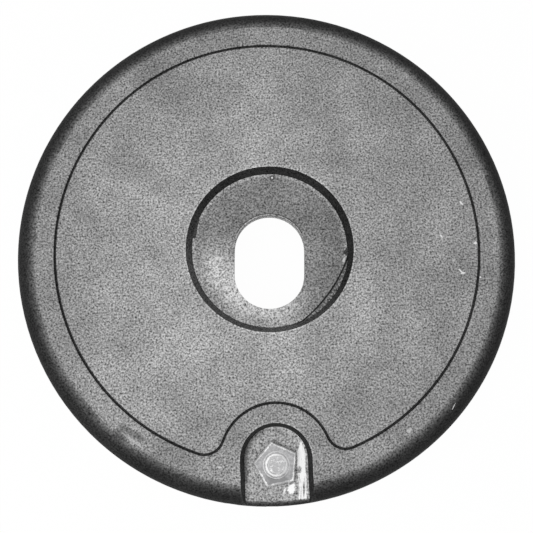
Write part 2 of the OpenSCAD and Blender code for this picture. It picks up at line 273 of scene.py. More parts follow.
# Painted shade, with dirt, in the corner under the left wall
corner_shade_and_dirt = add(
    tree,
    "ShaderNodeMapRange",
    SMOOTH,
    {"Value": from_notch_line, "From Min": notch_floor_radius - 3.5 * MM, "From Max": notch_floor_radius},
)
left_side = add(tree, "ShaderNodeMapRange", SMOOTH, {"Value": x, "From Min": 2 * MM, "From Max": -15 * MM})
inner_part = add(
    tree,
    "ShaderNodeMapRange",
    SMOOTH,
    {"Value": y, "From Min": -136 * MM, "From Max": -131 * MM, "To Min": 0.25, "To Max": 0.85},
)
for share in (left_side, inner_part):
    corner_shade_and_dirt = add(tree, "ShaderNodeMath", MULTIPLY, {0: corner_shade_and_dirt, 1: share})
corner_shade_and_dirt = add(tree, "ShaderNodeMath", MULTIPLY, {0: corner_shade_and_dirt, 1: on_notch_floor})
grey = add(tree, "ShaderNodeMix", COLOUR, {0: corner_shade_and_dirt, 6: grey, 7: linear("#404040")})

# Painted highlight: edges of the pocket and the notch are made a little paler for about a millimetre
pocket_side = add(tree, "ShaderNodeMath", SUBTRACT, {0: from_pocket, 1: pocket_radius - 1 * MM})
pocket_side = add(tree, "ShaderNodeMath", ABSOLUTE, {0: pocket_side})
notch_side = add(tree, "ShaderNodeMath", SUBTRACT, {0: from_notch_line, 1: notch_radius - 1 * MM})
notch_side = add(tree, "ShaderNodeMath", ABSOLUTE, {0: notch_side})
nearest_edge = add(tree, "ShaderNodeMath", MINIMUM, {0: pocket_side, 1: notch_side})
painted_lip_highlight = add(
    tree,
    "ShaderNodeMapRange",
    SMOOTH,
    {"Value": nearest_edge, "From Min": 2.2 * MM, "From Max": 1.3 * MM, "To Min": 1.0, "To Max": 1.25},
)

# Painted shade beside the line leaves its edges soft and dark
line_side = add(tree, "ShaderNodeMath", ABSOLUTE, {0: past_line})
painted_line_shade = add(
    tree,
    "ShaderNodeMapRange",
    SMOOTH,
    {"Value": line_side, "From Min": 1.4 * MM, "From Max": 0.8 * MM, "To Min": 1.0, "To Max": 0.8},
)

# Slopes lose the grey quickly. Dust stays only on what lies flat, and the steep fall of the grey
# with slope is painted shade. Painted shade also darkens the flat face a little before the rim
# rounds over
flatness = add(tree, "ShaderNodeValToRGB", None, {0: facing})
flatness.color_ramp.elements[0].position = 0.3
flatness.color_ramp.elements[0].color = (0.02, 0.02, 0.02, 1)
flatness.color_ramp.elements[1].color = (1, 1, 1, 1)
for level, share in (
    (0.5, 0.05), (0.7, 0.055), (0.8, 0.07), (0.866, 0.085), (0.906, 0.115), (0.94, 0.165), (0.961, 0.22),
    (0.978, 0.3), (0.988, 0.42), (0.9945, 0.6), (0.9986, 0.83),
):
    flatness.color_ramp.elements.new(level).color = (share, share, share, 1)
# Painted shade on the flat face just before the rim rounds over
painted_rim_shade = add(
    tree,
    "ShaderNodeMapRange",
    SMOOTH,
    {
        "Value": from_middle,
        "From Min": flat_radius - 2.2 * MM,
        "From Max": flat_radius + 0.4 * MM,
        "To Min": 1.0,
        "To Max": 0.78,
    },
)
painted_rim_shade = add(tree, "ShaderNodeMath", MAXIMUM, {0: painted_rim_shade, 1: on_notch_floor})
grey_share = add(tree, "ShaderNodeMath", MULTIPLY, {0: flatness, 1: painted_rim_shade})

# The walls of the pocket are paler towards the lower left. Dust clings to the walls of the notch
# and fills the groove line. None of this grey stays on what faces down
pocket_wall_grey = add(
    tree,
    "ShaderNodeMapRange",
    SMOOTH,
    {"Value": towards_lower_left, "From Min": -26 * MM, "From Max": 44 * MM, "To Max": 0.2},
)
pocket_wall_grey = add(tree, "ShaderNodeMath", MULTIPLY, {0: pocket_wall_grey, 1: in_pocket})
in_groove = add(
    tree, "ShaderNodeMapRange", SMOOTH, {"Value": line_side, "From Min": 3 * MM, "From Max": 2 * MM}
)
groove_dust = add(
    tree,
    "ShaderNodeMapRange",
    SMOOTH,
    {"Value": z, "From Min": top_z, "From Max": top_z - line_depth, "To Min": 0.02, "To Max": 0.24},
)
groove_dust = add(tree, "ShaderNodeMath", MULTIPLY, {0: groove_dust, 1: in_groove})
notch_dust = add(
    tree,
    "ShaderNodeMapRange",
    SMOOTH,
    {"Value": x, "From Min": 17 * MM, "From Max": -17 * MM, "To Min": 0.05, "To Max": 0.1},
)
notch_dust = add(tree, "ShaderNodeMath", MULTIPLY, {0: notch_dust, 1: in_notch})
walls_and_groove_grey = 0.0
for share in (pocket_wall_grey, groove_dust, notch_dust):
    walls_and_groove_grey = add(tree, "ShaderNodeMath", MAXIMUM, {0: walls_and_groove_grey, 1: share})
above_underside = add(
    tree, "ShaderNodeMapRange", SMOOTH, {"Value": facing, "From Min": 0.1, "From Max": 0.4}
)
walls_and_groove_grey = add(tree, "ShaderNodeMath", MULTIPLY, {0: walls_and_groove_grey, 1: above_underside})
grey_share = add(tree, "ShaderNodeMath", MAXIMUM, {0: grey_share, 1: walls_and_groove_grey})
body = add(tree, "ShaderNodeMix", COLOUR, {0: grey_share, 6: linear("#0e0e0e"), 7: grey})

# Painted light: the wall of the antenna hole is made pale, where light comes through from below
in_hole = add(
    tree,
    "ShaderNodeMapRange",
    SMOOTH,
    {"Value": from_pocket, "From Min": hole_reach + 0.5 * MM, "From Max": hole_reach - 0.5 * MM},
)
below_edge = add(
    tree,
    "ShaderNodeMapRange",
    SMOOTH,
    {"Value": z, "From Min": pocket_floor_z - 0.6 * MM, "From Max": pocket_floor_z - 1.8 * MM},
)
ribs_z = pocket_floor_z - pocket_floor_thickness + 0.1 * MM
above_ribs = add(tree, "ShaderNodeMath", {"operation": "GREATER_THAN"}, {0: z, 1: ribs_z})
painted_hole_light = add(tree, "ShaderNodeMath", MULTIPLY, {0: in_hole, 1: below_edge})
painted_hole_light = add(tree, "ShaderNodeMath", MULTIPLY, {0: painted_hole_light, 1: above_ribs})
body = add(tree, "ShaderNodeMix", COLOUR, {0: painted_hole_light, 6: body, 7: linear("#cccccc")})

# Grain of about a millimetre, drawn a little coarser than the real one so that it shows, and
# stains some centimetres wide. One side of the cover, towards the lamp, is made paler than the
# other: painted light
grain = add(
    tree,
    "ShaderNodeTexNoise",
    None,
    {"Vector": spot, "Scale": 1 / (1.05 * MM), "Detail": 2.0, "Roughness": 0.6},
)
stains = add(
    tree,
    "ShaderNodeTexNoise",
    None,
    {"Vector": spot, "Scale": 1 / (30 * MM), "Detail": 5.0, "Roughness": 0.6},
)
specks = add(
    tree,
    "ShaderNodeMapRange",
    None,
    {"Value": grain, "From Min": 0.3, "From Max": 0.7, "To Min": 0.12, "To Max": 1.88},
)
clouds = add(
    tree,
    "ShaderNodeMapRange",
    None,
    {"Value": stains, "From Min": 0.25, "From Max": 0.75, "To Min": 0.7, "To Max": 1.3},
)
# Painted light: paler towards the lamp's side of the cover, darker away from it
lamp_side_way = math.radians(205)
towards_lamp_side = add(
    tree, "ShaderNodeVectorMath", DOT, {0: spot, 1: (math.cos(lamp_side_way), math.sin(lamp_side_way), 0)}
).outputs["Value"]
painted_lamp_side_light = add(
    tree,
    "ShaderNodeMapRange",
    None,
    {
        "Value": towards_lamp_side,
        "From Min": -cover_radius,
        "From Max": cover_radius,
        "To Min": 0.93,
        "To Max": 1.07,
    },
)
shade = specks
for share in (clouds, painted_lip_highlight, painted_line_shade, painted_lamp_side_light):
    shade = add(tree, "ShaderNodeMath", MULTIPLY, {0: shade, 1: share})
shade = add(tree, "ShaderNodeCombineColor", None, {0: shade, 1: shade, 2: shade})
body = add(
    tree, "ShaderNodeMix", {"data_type": "RGBA", "blend_type": "MULTIPLY"}, {0: 1.0, 6: body, 7: shade}
)

# Pale specks of painted highlight within the painted sheen on the pocket floor
sheen_flecks = add(
    tree,
    "ShaderNodeTexNoise",
    None,
    {"Vector": spot, "Scale": 1 / (1.7 * MM), "Detail": 3.0, "Roughness": 0.7},
)
sheen_flecks = add(tree, "ShaderNodeMapRange", SMOOTH, {"Value": sheen_flecks, "From Min": 0.54, "From Max": 0.66})
in_sheen = add(
    tree, "ShaderNodeMapRange", SMOOTH, {"Value": towards_lower_left, "From Min": 12 * MM, "From Max": 28 * MM}
)
away_from_wall = add(
    tree, "ShaderNodeMapRange", SMOOTH, {"Value": from_pocket, "From Min": 43 * MM, "From Max": 37 * MM}
)
for share in (in_sheen, away_from_wall, on_floor, grey_share):
    sheen_flecks = add(tree, "ShaderNodeMath", MULTIPLY, {0: sheen_flecks, 1: share})
body = add(tree, "ShaderNodeMix", COLOUR, {0: sheen_flecks, 6: body, 7: linear("#e6e6e6")})

# Scuffs on the rim and stains beside the line
ragged = add(
    tree,
    "ShaderNodeTexNoise",
    None,
    {"Vector": spot, "Scale": 1 / (1.4 * MM), "Detail": 3.0, "Roughness": 0.6},
)
ragged = add(tree, "ShaderNodeMapRange", None, {"Value": ragged, "To Min": -0.7, "To Max": 0.7})


def marks(core, places):
    """How far a point lies in one of several ragged ovals. It is full up to a share, core, of
    an oval's size. Each place is x, y, half length and half width in millimetres, the turn in
    degrees and the strength."""
    most = 0.0
    for mark_x, mark_y, half_length, half_width, turn, strength in places:
        mark = add(
            tree,
            "ShaderNodeMapping",
            {"vector_type": "TEXTURE"},
            {
                "Vector": flat,
                "Location": (mark_x * MM, mark_y * MM, 0),
                "Rotation": (0, 0, math.radians(turn)),
                "Scale": (half_length * MM, half_width * MM, 1),
            },
        )
        mark = add(tree, "ShaderNodeVectorMath", LENGTH, {0: mark}).outputs["Value"]
        mark = add(tree, "ShaderNodeMath", ADD, {0: mark, 1: ragged})
        mark = add(
            tree,
            "ShaderNodeMapRange",
            SMOOTH,
            {"Value": mark, "From Min": 1.3, "From Max": core, "To Max": strength},
        )
        most = add(tree, "ShaderNodeMath", MAXIMUM, {0: most, 1: mark})
    return most


scuffed = marks(
    0.5,
    (
        (-80.4, -102.6, 10, 2, -36, 0.55), (-86.9, -103.0, 5, 3.4, -38, 0.6),
        (-134.8, 11.7, 3, 1.2, 80, 0.4), (-13.4, 135.6, 3, 1, 5, 0.4), (44.5, 116.5, 2.5, 0.8, -20, 0.25),
    ),
)
body = add(tree, "ShaderNodeMix", COLOUR, {0: scuffed, 6: body, 7: linear("#2a2a2a")})

# Nicks, where the grey is cut through to torn polymer that looks white
nicked = marks(
    0.8,
    (
        (115.0, 22.6, 1.5, 0.5, -49, 1), (101.9, 3.3, 1.1, 0.5, -52, 1), (121.6, -1.6, 0.8, 0.7, 0, 1),
        (111.7, -17.6, 1.5, 0.4, -50, 1), (112.9, -18.9, 1.5, 0.45, 6, 1), (123.0, -21.7, 0.5, 0.5, 0, 1),
        (108.5, -11.1, 1, 0.6, 20, 0.5), (102.3, -95.2, 2.2, 0.25, 60, 0.8),
        (-32, -123.5, 1.5, 0.4, -12, 0.6), (-80.9, -106.4, 7, 0.6, -38, 0.3),
        (-28.7, -4.0, 3.6, 0.7, 4, 0.55), (44.6, -7.8, 1.3, 0.8, 70, 0.6),
        (76.0, -107.5, 1.5, 1.1, 45, 0.45),
    ),
)
nicked = add(tree, "ShaderNodeMath", MULTIPLY, {0: nicked, 1: above_underside})
body = add(tree, "ShaderNodeMix", COLOUR, {0: nicked, 6: body, 7: linear("#e2e2e2")})

# Polymer whitens where the key's edge has scraped the right side of the notch floor
scrape_tip_y = -110.4 * MM
scrape_end_y = -144.2 * MM
drawn_out = add(tree, "ShaderNodeMapping", None, {"Vector": spot, "Scale": (1, 0.3, 1)})
tear = add(
    tree,
    "ShaderNodeTexNoise",
    None,
    {"Vector": drawn_out, "Scale": 1 / (1.5 * MM), "Detail": 4.0, "Roughness": 0.7},
)
tear = add(tree, "ShaderNodeMapRange", None, {"Value": tear, "To Min": -1.4 * MM, "To Max": 1.4 * MM})
left_edge = add(
    tree,
    "ShaderNodeMapRange",
    SMOOTH,
    {"Value": y, "From Min": -121 * MM, "From Max": scrape_tip_y, "To Min": 11.9 * MM, "To Max": 14 * MM},
)
right_edge = add(
    tree,
    "ShaderNodeMapRange",
    SMOOTH,
    {"Value": y, "From Min": -119 * MM, "From Max": scrape_tip_y, "To Min": 17 * MM, "To Max": 14.9 * MM},
)
from_left = add(tree, "ShaderNodeMath", SUBTRACT, {0: x, 1: left_edge})
from_left = add(tree, "ShaderNodeMath", ADD, {0: from_left, 1: tear})
from_right = add(tree, "ShaderNodeMath", SUBTRACT, {0: right_edge, 1: x})
from_right = add(tree, "ShaderNodeMath", ADD, {0: from_right, 1: tear})
from_tip = add(tree, "ShaderNodeMath", SUBTRACT, {0: scrape_tip_y, 1: y})
from_end = add(tree, "ShaderNodeMath", SUBTRACT, {0: y, 1: scrape_end_y})
scraped = on_notch_floor
for inward, width in ((from_left, 0.3), (from_right, 0.3), (from_tip, 2.0), (from_end, 0.5)):
    limit = add(
        tree, "ShaderNodeMapRange", SMOOTH, {"Value": inward, "From Min": 0.0, "From Max": width * MM}
    )
    scraped = add(tree, "ShaderNodeMath", MULTIPLY, {0: scraped, 1: limit})

# Lengthwise streaks where the key has left the grey, more of them towards the mouth
drawn_longer = add(tree, "ShaderNodeMapping", None, {"Vector": spot, "Scale": (1, 0.08, 1)})
streaks = add(
    tree,
    "ShaderNodeTexNoise",
    None,
    {"Vector": drawn_longer, "Scale": 1 / (0.9 * MM), "Detail": 3.0, "Roughness": 0.6},
)
missed = add(
    tree,
    "ShaderNodeMapRange",
    None,
    {"Value": y, "From Min": scrape_end_y, "From Max": scrape_tip_y, "To Min": 0.1, "To Max": -0.03},
)
streaks = add(tree, "ShaderNodeMath", SUBTRACT, {0: streaks, 1: missed})
streaks = add(tree, "ShaderNodeMapRange", SMOOTH, {"Value": streaks, "From Min": 0.33, "From Max": 0.4})
scraped = add(tree, "ShaderNodeMath", MULTIPLY, {0: scraped, 1: streaks})
scraped = add(tree, "ShaderNodeMath", MULTIPLY, {0: scraped, 1: grey_share})

# Gaps in the scrape where the key skipped, and two chips beside it
skipped = marks(
    0.6,
    (
        (13.2, -127.4, 2.2, 1.0, 80, 1), (15.1, -138.4, 5, 0.55, 87, 0.9), (12.7, -132.5, 3.5, 0.3, 88, 0.8),
        (15.9, -134.0, 3, 0.25, 88, 0.6), (13.4, -141.5, 2.5, 0.25, 86, 0.7),
    ),
)
kept = add(tree, "ShaderNodeMath", SUBTRACT, {0: 1.0, 1: skipped})
scraped = add(tree, "ShaderNodeMath", MULTIPLY, {0: scraped, 1: kept})
chipped = marks(
    0.9,
    (
        (8.0, -137.8, 2.3, 1.8, 75, 1), (8.8, -136.4, 1.5, 1.0, 60, 1), (4.1, -138.6, 1.5, 0.45, 70, 0.8),
        (9.6, -134.9, 0.9, 0.35, 60, 0.6),
    ),
)
for share in (on_notch_floor, grey_share):
    chipped = add(tree, "ShaderNodeMath", MULTIPLY, {0: chipped, 1: share})
scraped = add(tree, "ShaderNodeMath", MAXIMUM, {0: scraped, 1: chipped})
body = add(tree, "ShaderNodeMix", COLOUR, {0: scraped, 6: body, 7: linear("#ffffff")})

tree.links.new(body.outputs[2], shader.inputs["Base Color"])
bumps = add(tree, "ShaderNodeBump", None, {"Strength": 0.4, "Distance": 0.15 * MM, "Height": grain})
tree.links.new(bumps.outputs[0], shader.inputs["Normal"])
cover.data.materials.clear()
cover.data.materials.append(polymer)

# Gate pip
# The stub of polymer that stays where the mould was filled. It stands on the pocket floor, a low
# ring with a raised middle, sheared off flat.
pip_x = 4.5 * MM
pip_y = 43.4 * MM
pip_steps = 24
# Radius and height above the floor of each ring, in millimetres, from the foot to the crown
profile = (
    (1.5, -0.1), (1.5, 0.2), (1.3, 0.45), (1.0, 0.45), (0.85, 0.15), (0.7, 0.1), (0.62, 0.5), (0.0, 0.55),
)
pip_mesh = bmesh.new()
rings = []
for radius, height in profile[:-1]:
    ring = []
    for step in range(pip_steps):
        turn = 2 * math.pi * step / pip_steps
        corner = (
            pip_x + radius * MM * math.cos(turn),
            pip_y + radius * MM * math.sin(turn),
            pocket_floor_z + height * MM,
        )
        ring.append(pip_mesh.verts.new(corner))
    rings.append(ring)
for outer, inner in zip(rings, rings[1:]):
    for step in range(pip_steps):
        after = (step + 1) % pip_steps
        pip_mesh.faces.new((outer[step], outer[after], inner[after], inner[step]))
crown = pip_mesh.verts.new((pip_x, pip_y, pocket_floor_z + profile[-1][1] * MM))
for step in range(pip_steps):
    pip_mesh.faces.new((rings[-1][step], rings[-1][(step + 1) % pip_steps], crown))
pip_mesh.faces.new(list(reversed(rings[0])))
pip_data = bpy.data.meshes.new("gate_pip")
pip_mesh.to_mesh(pip_data)
pip_mesh.free()
pip = bpy.data.objects.new("gate_pip", pip_data)
bpy.context.scene.collection.objects.link(pip)

# Sheared black polyolefin: the skin is broken, so it holds no dust, and stress has whitened the top
sheared, tree, shader, place = start_material("sheared_black_polyolefin", 0.5)
height = add(tree, "ShaderNodeSeparateXYZ", None, {0: place.outputs["Object"]}).outputs["Z"]
whitened = add(
    tree,
    "ShaderNodeMapRange",
    SMOOTH,
    {"Value": height, "From Min": pocket_floor_z + 0.46 * MM, "From Max": pocket_floor_z + 0.5 * MM},
)
body = add(tree, "ShaderNodeMix", COLOUR, {0: whitened, 6: linear("#505050"), 7: linear("#dcdcdc")})
tree.links.new(body.outputs[2], shader.inputs["Base Color"])
pip_data.materials.append(sheared)
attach(pip, "cover")

# Flash tags
# Thin tags of moulding flash that were torn off short at the foot of the pocket's wall, one on
# the left and one on the right. Each is a wedge from the wall down to the floor.
tag_foot = pocket_floor_radius + 0.1 * MM
tag_lean = 0.5 * MM
tag_sunk_z = pocket_floor_z - 0.1 * MM
tag_wall_z = pocket_floor_z + 0.9 * MM
tag_free_z = pocket_floor_z + 0.35 * MM
tag_mesh = bmesh.new()
# Where each tag starts and ends round the pocket, in degrees, and its widths from start to end in
# millimetres
for start_turn, end_turn, widths in (
    (153, 169, (0.2, 0.7, 1.0, 1.2, 1.5, 1.7, 1.5)),
    (-6.5, -1.0, (0.5, 2.0, 2.6, 1.4, 0.7)),
):
    sections = []
    for index, width in enumerate(widths):
        turn = math.radians(start_turn + (end_turn - start_turn) * index / (len(widths) - 1))
        section = []
        for radius, height in (
            (tag_foot - width * MM, tag_sunk_z),
            (tag_foot, tag_sunk_z),
            (tag_foot + tag_lean, tag_wall_z),
            (tag_foot - width * 0.9 * MM, tag_free_z),
        ):
            point = (pocket_x + radius * math.cos(turn), radius * math.sin(turn), height)
            section.append(tag_mesh.verts.new(point))
        sections.append(section)
    for near, far in zip(sections, sections[1:]):
        for corner in range(4):
            after = (corner + 1) % 4
            tag_mesh.faces.new((near[corner], near[after], far[after], far[corner]))
    tag_mesh.faces.new(list(reversed(sections[0])))
    tag_mesh.faces.new(sections[-1])
bmesh.ops.recalc_face_normals(tag_mesh, faces=tag_mesh.faces)
tag_data = bpy.data.meshes.new("flash_tags")
tag_mesh.to_mesh(tag_data)
tag_mesh.free()
tags = bpy.data.objects.new("flash_tags", tag_data)
bpy.context.scene.collection.objects.link(tags)

# Torn black polyolefin: dull, a little greyer than a moulded wall
torn, tree, shader, place = start_material("torn_black_polyolefin", 0.7)
shader.inputs["Specular IOR Level"].default_value = 0.25
fibres = add(
    tree,
    "ShaderNodeTexNoise",
    None,
    {"Vector": place.outputs["Object"], "Scale": 1 / (0.7 * MM), "Detail": 3.0, "Roughness": 0.6},
)
fibres = add(tree, "ShaderNodeMapRange", SMOOTH, {"Value": fibres, "From Min": 0.4, "From Max": 0.65})
body = add(tree, "ShaderNodeMix", COLOUR, {0: fibres, 6: linear("#202020"), 7: linear("#4a4a4a")})
tree.links.new(body.outputs[2], shader.inputs["Base Color"])
tag_data.materials.append(torn)
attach(tags, "cover")

# Lock bolt and worm
# The pentagon head and the worm below it are cast in bronze, dulled to a pale grey. Turning rings
# are left on the head, and its edges carry a painted highlight.
lock_y = notch_centre_y - 3.1 * MM
head_side = 10.18 * MM
first_side = 136.5
ring_span = 10 * MM
bronze, tree, shader, place = start_material("dulled_cast_bronze", 0.55, 0.35)
spot = place.outputs["Object"]
facing = add(tree, "ShaderNodeSeparateXYZ", None, {0: place.outputs["Normal"]}).outputs["Z"]
cast = add(
    tree,
    "ShaderNodeTexNoise",
    None,
    {"Vector": spot, "Scale": 1 / (1.2 * MM), "Detail": 3.0, "Roughness": 0.65},
)
stains = add(
    tree,
    "ShaderNodeTexNoise",
    None,
    {"Vector": spot, "Scale": 1 / (5 * MM), "Detail": 3.0, "Roughness": 0.5},
)
stains = add(tree, "ShaderNodeMapRange", SMOOTH, {"Value": stains, "From Min": 0.38, "From Max": 0.62})
pits = add(tree, "ShaderNodeMapRange", SMOOTH, {"Value": cast, "From Min": 0.32, "From Max": 0.6})
body = add(tree, "ShaderNodeMix", COLOUR, {0: stains, 6: linear("#929293"), 7: linear("#a6a6a7")})
body = add(tree, "ShaderNodeMix", COLOUR, {0: pits, 6: linear("#848485"), 7: body})
to_lock = add(tree, "ShaderNodeVectorMath", SUBTRACT, {0: spot, 1: (0, lock_y, 0)})
to_lock = add(tree, "ShaderNodeVectorMath", MULTIPLY, {0: to_lock, 1: (1, 1, 0)})
beside_lock, along_lock = add(tree, "ShaderNodeSeparateXYZ", None, {0: to_lock}).outputs[:2]
from_lock = add(tree, "ShaderNodeVectorMath", LENGTH, {0: to_lock}).outputs["Value"]
wobble = add(tree, "ShaderNodeMapRange", None, {"Value": cast, "To Min": -0.8 * MM, "To Max": 0.8 * MM})

# A dark patch on the side where water stands, and a middle that keys have scratched
low_side = add(
    tree, "ShaderNodeMapRange", SMOOTH, {"Value": along_lock, "From Min": -3 * MM, "From Max": -5.5 * MM}
)
dark_patch = add(tree, "ShaderNodeMapRange", None, {"Value": stains, "To Min": 0.9, "To Max": 0.3})
dark_patch = add(tree, "ShaderNodeMath", MULTIPLY, {0: low_side, 1: dark_patch})
body = add(tree, "ShaderNodeMix", COLOUR, {0: dark_patch, 6: body, 7: linear("#727273")})
in_middle = add(
    tree, "ShaderNodeMapRange", SMOOTH, {"Value": from_lock, "From Min": 5.5 * MM, "From Max": 4.5 * MM}
)
body = add(tree, "ShaderNodeMix", COLOUR, {0: in_middle, 6: body, 7: linear("#9f9fa0")})
scratched = add(
    tree,
    "ShaderNodeTexNoise",
    None,
    {"Vector": spot, "Scale": 1 / (1.6 * MM), "Detail": 4.0, "Roughness": 0.75},
)
scratched = add(tree, "ShaderNodeMapRange", SMOOTH, {"Value": scratched, "From Min": 0.5, "From Max": 0.64})
scratched = add(tree, "ShaderNodeMath", MULTIPLY, {0: in_middle, 1: scratched})
body = add(tree, "ShaderNodeMix", COLOUR, {0: scratched, 6: body, 7: linear("#dedede")})

# Turning rings, brighter to the left
ring_place = add(tree, "ShaderNodeMath", ADD, {0: from_lock, 1: wobble})
ring_place = add(
    tree, "ShaderNodeMapRange", None, {"Value": ring_place, "From Min": 0.0, "From Max": ring_span}
)
turned = add(tree, "ShaderNodeValToRGB", None, {0: ring_place})
turned.color_ramp.elements[0].color = (0.0, 0.0, 0.0, 1)
turned.color_ramp.elements[1].color = (0.0, 0.0, 0.0, 1)
for share, level in (
    (0.4, 0.0), (0.45, 0.35), (0.5, 0.1), (0.56, 1.0), (0.61, 0.9), (0.65, 0.05), (0.7, 0.1),
    (0.74, 0.65), (0.79, 0.0),
):
    turned.color_ramp.elements.new(share).color = (level, level, level, 1)
left_part = add(
    tree,
    "ShaderNodeMapRange",
    SMOOTH,
    {"Value": beside_lock, "From Min": 7 * MM, "From Max": -5 * MM, "To Min": 0.35, "To Max": 0.95},
)
turned = add(tree, "ShaderNodeMath", MULTIPLY, {0: turned, 1: left_part})
body = add(tree, "ShaderNodeMix", COLOUR, {0: turned, 6: body, 7: linear("#dedede")})

# Painted highlight: the five edges are made bright for about a millimetre. How far out a point
# lies is measured square to each side, and the farthest counts
nearest_side = -1.0
for step in range(5):
    side_way = math.radians(first_side + 72 * step)
    beyond = add(
        tree, "ShaderNodeVectorMath", DOT, {0: to_lock, 1: (math.cos(side_way), math.sin(side_way), 0)}
    ).outputs["Value"]
    nearest_side = add(tree, "ShaderNodeMath", MAXIMUM, {0: nearest_side, 1: beyond})
nearest_side = add(tree, "ShaderNodeMath", ADD, {0: nearest_side, 1: wobble})
painted_edge_highlight = add(
    tree,
    "ShaderNodeMapRange",
    SMOOTH,
    {
        "Value": nearest_side,
        "From Min": head_side - 0.7 * MM,
        "From Max": head_side - 0.2 * MM,
        "To Max": 0.75,
    },
)
on_top = add(tree, "ShaderNodeMapRange", SMOOTH, {"Value": facing, "From Min": 0.3, "From Max": 0.5})
uneven = add(tree, "ShaderNodeMapRange", None, {"Value": stains, "To Min": 0.35, "To Max": 1.0})
for share in (on_top, uneven):
    painted_edge_highlight = add(tree, "ShaderNodeMath", MULTIPLY, {0: painted_edge_highlight, 1: share})
body = add(tree, "ShaderNodeMix", COLOUR, {0: painted_edge_highlight, 6: body, 7: linear("#f2f2f2")})
tree.links.new(body.outputs[2], shader.inputs["Base Color"])
bumps = add(tree, "ShaderNodeBump", None, {"Strength": 0.5, "Distance": 0.15 * MM, "Height": cast})
tree.links.new(bumps.outputs[0], shader.inputs["Normal"])
for name in ("lock_bolt", "worm"):
    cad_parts[name].data.materials.clear()
    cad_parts[name].data.materials.append(bronze)

# Washers and split pin
# Stamped washers and drawn wire of stainless steel. Rumbling after the press has left them satin.
steel, tree, shader, place = start_material("stamped_stainless_steel", 0.35, 1.0)
scratches = add(
    tree,
    "ShaderNodeTexNoise",
    None,
    {"Vector": place.outputs["Object"], "Scale": 1 / (0.5 * MM), "Detail": 3.0, "Roughness": 0.6},
)
body = add(tree, "ShaderNodeMix", COLOUR, {0: scratches, 6: linear("#a6a6a4"), 7: linear("#c9c9c7")})
tree.links.new(body.outputs[2], shader.inputs["Base Color"])
satin = add(tree, "ShaderNodeMapRange", None, {"Value": scratches, "To Min": 0.26, "To Max": 0.46})
tree.links.new(satin.outputs[0], shader.inputs["Roughness"])
for name in ("thrust_washer", "end_washer", "split_pin"):
    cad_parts[name].data.materials.clear()
    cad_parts[name].data.materials.append(steel)

# Scrape slivers
# Fine slivers of whitened polymer that still hang on along both edges of the scrape. They are
# strewn by Geometry Nodes, and stay clear of the turning head, which would have swept them off.
sliver_width = 0.34 * MM
sliver_height = 0.1 * MM
sliver_root_y = -0.5 * MM
sliver_tip = (0.05 * MM, 0.9 * MM, 0.16 * MM)
sliver_mesh = bmesh.new()
for root_x, root_z in ((-sliver_width / 2, 0.0), (0.0, sliver_height), (sliver_width / 2, 0.0)):
    sliver_mesh.verts.new((root_x, sliver_root_y, root_z))
sliver_mesh.verts.new(sliver_tip)
sliver_mesh.verts.ensure_lookup_table()
for corners in ((0, 2, 1), (0, 3, 2), (0, 1, 3), (1, 2, 3)):
    sliver_mesh.faces.new([sliver_mesh.verts[corner] for corner in corners])
bmesh.ops.recalc_face_normals(sliver_mesh, faces=sliver_mesh.faces)
sliver_data = bpy.data.meshes.new("sliver")
sliver_mesh.to_mesh(sliver_data)
sliver_mesh.free()
sliver = bpy.data.objects.new("sliver", sliver_data)
bpy.context.scene.collection.objects.link(sliver)
whitened_polymer, tree, shader, place = start_material("stress_whitened_polyolefin", 0.6)
shader.inputs["Base Color"].default_value = linear("#ececec")

strewing = bpy.data.node_groups.new("strewn_slivers", "GeometryNodeTree")
strewing.interface.new_socket("Edges", in_out="INPUT", socket_type="NodeSocketGeometry")
strewing.interface.new_socket("Sliver", in_out="INPUT", socket_type="NodeSocketObject")
strewing.interface.new_socket("Spacing", in_out="INPUT", socket_type="NodeSocketFloat")
strewing.interface.new_socket("Sideways", in_out="INPUT", socket_type="NodeSocketFloat")
strewing.interface.new_socket("Polymer", in_out="INPUT", socket_type="NodeSocketMaterial")
strewing.interface.new_socket("Slivers", in_out="OUTPUT", socket_type="NodeSocketGeometry")
given = add(strewing, "NodeGroupInput")
edge_curve = add(strewing, "GeometryNodeMeshToCurve", None, {"Mesh": given.outputs["Edges"]})
points = add(
    strewing,
    "GeometryNodeCurveToPoints",
    {"mode": "LENGTH"},
    {"Curve": edge_curve, "Length": given.outputs["Spacing"]},
)
step_aside = add(
    strewing,
    "FunctionNodeRandomValue",
    {"data_type": "FLOAT_VECTOR"},
    {"Min": (-1, -1, 0), "Max": (1, 1, 0), "Seed": 7},
)
step_aside = add(
    strewing,
    "ShaderNodeVectorMath",
    {"operation": "SCALE"},
    {0: step_aside, "Scale": given.outputs["Sideways"]},
)
points = add(strewing, "GeometryNodeSetPosition", None, {"Geometry": points, "Offset": step_aside})
shape = add(strewing, "GeometryNodeObjectInfo", None, {"Object": given.outputs["Sliver"]})
turn = add(
    strewing,
    "FunctionNodeRandomValue",
    {"data_type": "FLOAT_VECTOR"},
    {"Min": (-0.1, 0, -0.35), "Max": (0.3, 0, 0.35), "Seed": 3},
)
growth = add(
    strewing,
    "FunctionNodeRandomValue",
    {"data_type": "FLOAT_VECTOR"},
    {"Min": (0.6, 0.5, 0.6), "Max": (1.3, 1.9, 1.2), "Seed": 5},
)
strewn = add(
    strewing,
    "GeometryNodeInstanceOnPoints",
    None,
    {"Points": points, "Instance": shape.outputs["Geometry"], "Rotation": turn, "Scale": growth},
)
strewn = add(strewing, "GeometryNodeRealizeInstances", None, {"Geometry": strewn})
strewn = add(
    strewing, "GeometryNodeSetMaterial", None, {"Geometry": strewn, "Material": given.outputs["Polymer"]}
)
add(strewing, "NodeGroupOutput", None, {"Slivers": strewn})

edge_data = bpy.data.meshes.new("scrape_slivers")
edge_z = notch_floor_z + 0.02 * MM
